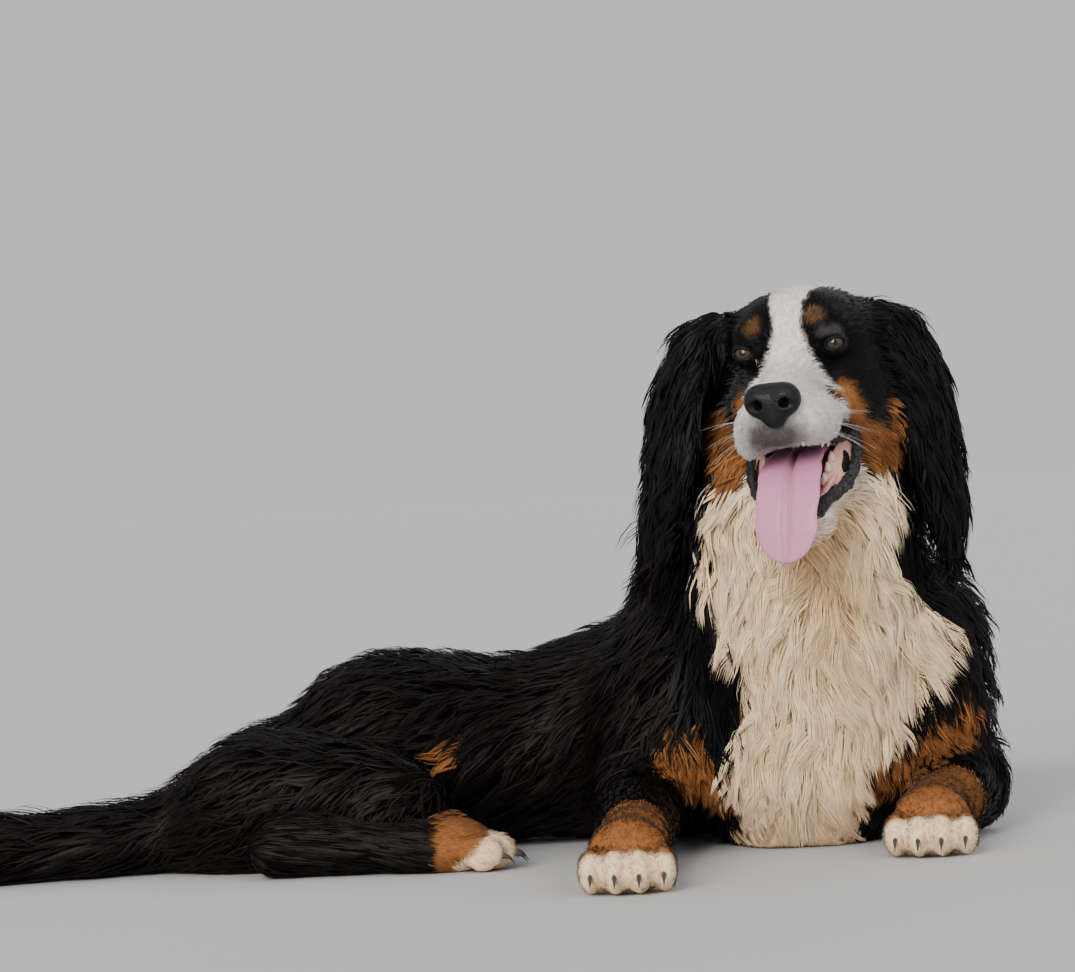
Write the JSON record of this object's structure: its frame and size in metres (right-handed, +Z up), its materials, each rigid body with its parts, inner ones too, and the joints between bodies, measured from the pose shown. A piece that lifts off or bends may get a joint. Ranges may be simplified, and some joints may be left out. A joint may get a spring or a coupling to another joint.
{
  "type": "bernese mountain dog",
  "caption": "Still life-size model of a Bernese mountain dog lying on its chest, head up and tongue out, with long black, white and tan coat.",
  "frame": {"origin": "on the floor under the middle of the brisket, on the flat that the chest rests on", "axes": "+X to the dog's left across its chest, -Y ahead of its chest, +Z up; the trunk bends away towards -X"},
  "size_m": [1.1699, 0.7222, 0.539],
  "materials": {
    "coat_black": "long glossy black dog coat",
    "coat_white": "long wavy cream-white dog coat",
    "coat_tan": "rust-brown dog coat",
    "tongue": "moist pink tongue, gums and lips",
    "nose_pad": "fine-grained moist nose leather and dark horn",
    "eye": "clear wet brown eye"
  },
  "bodies": {
    "root": {"head": "coat_black", "neck": "coat_black", "barrel": "coat_black", "rump": "coat_black", "tail_base": "coat_black", "tail_end": "coat_black", "right_ear": "coat_black", "left_ear": "coat_black", "right_upper_arm": "coat_black", "left_upper_arm": "coat_black", "right_thigh": "coat_black", "left_thigh": "coat_black", "right_forearm": "coat_black", "left_forearm": "coat_black", "right_shank": "coat_black", "left_shank": "coat_black", "chest": "coat_white", "lower_jaw": "coat_white", "right_hind_paw": "coat_white", "left_hind_paw": "coat_white", "right_forepaw": "coat_tan", "left_forepaw": "coat_tan", "tongue": "tongue", "nose": "nose_pad", "right_eye": "eye", "left_eye": "eye"}
  },
  "joints": []
}
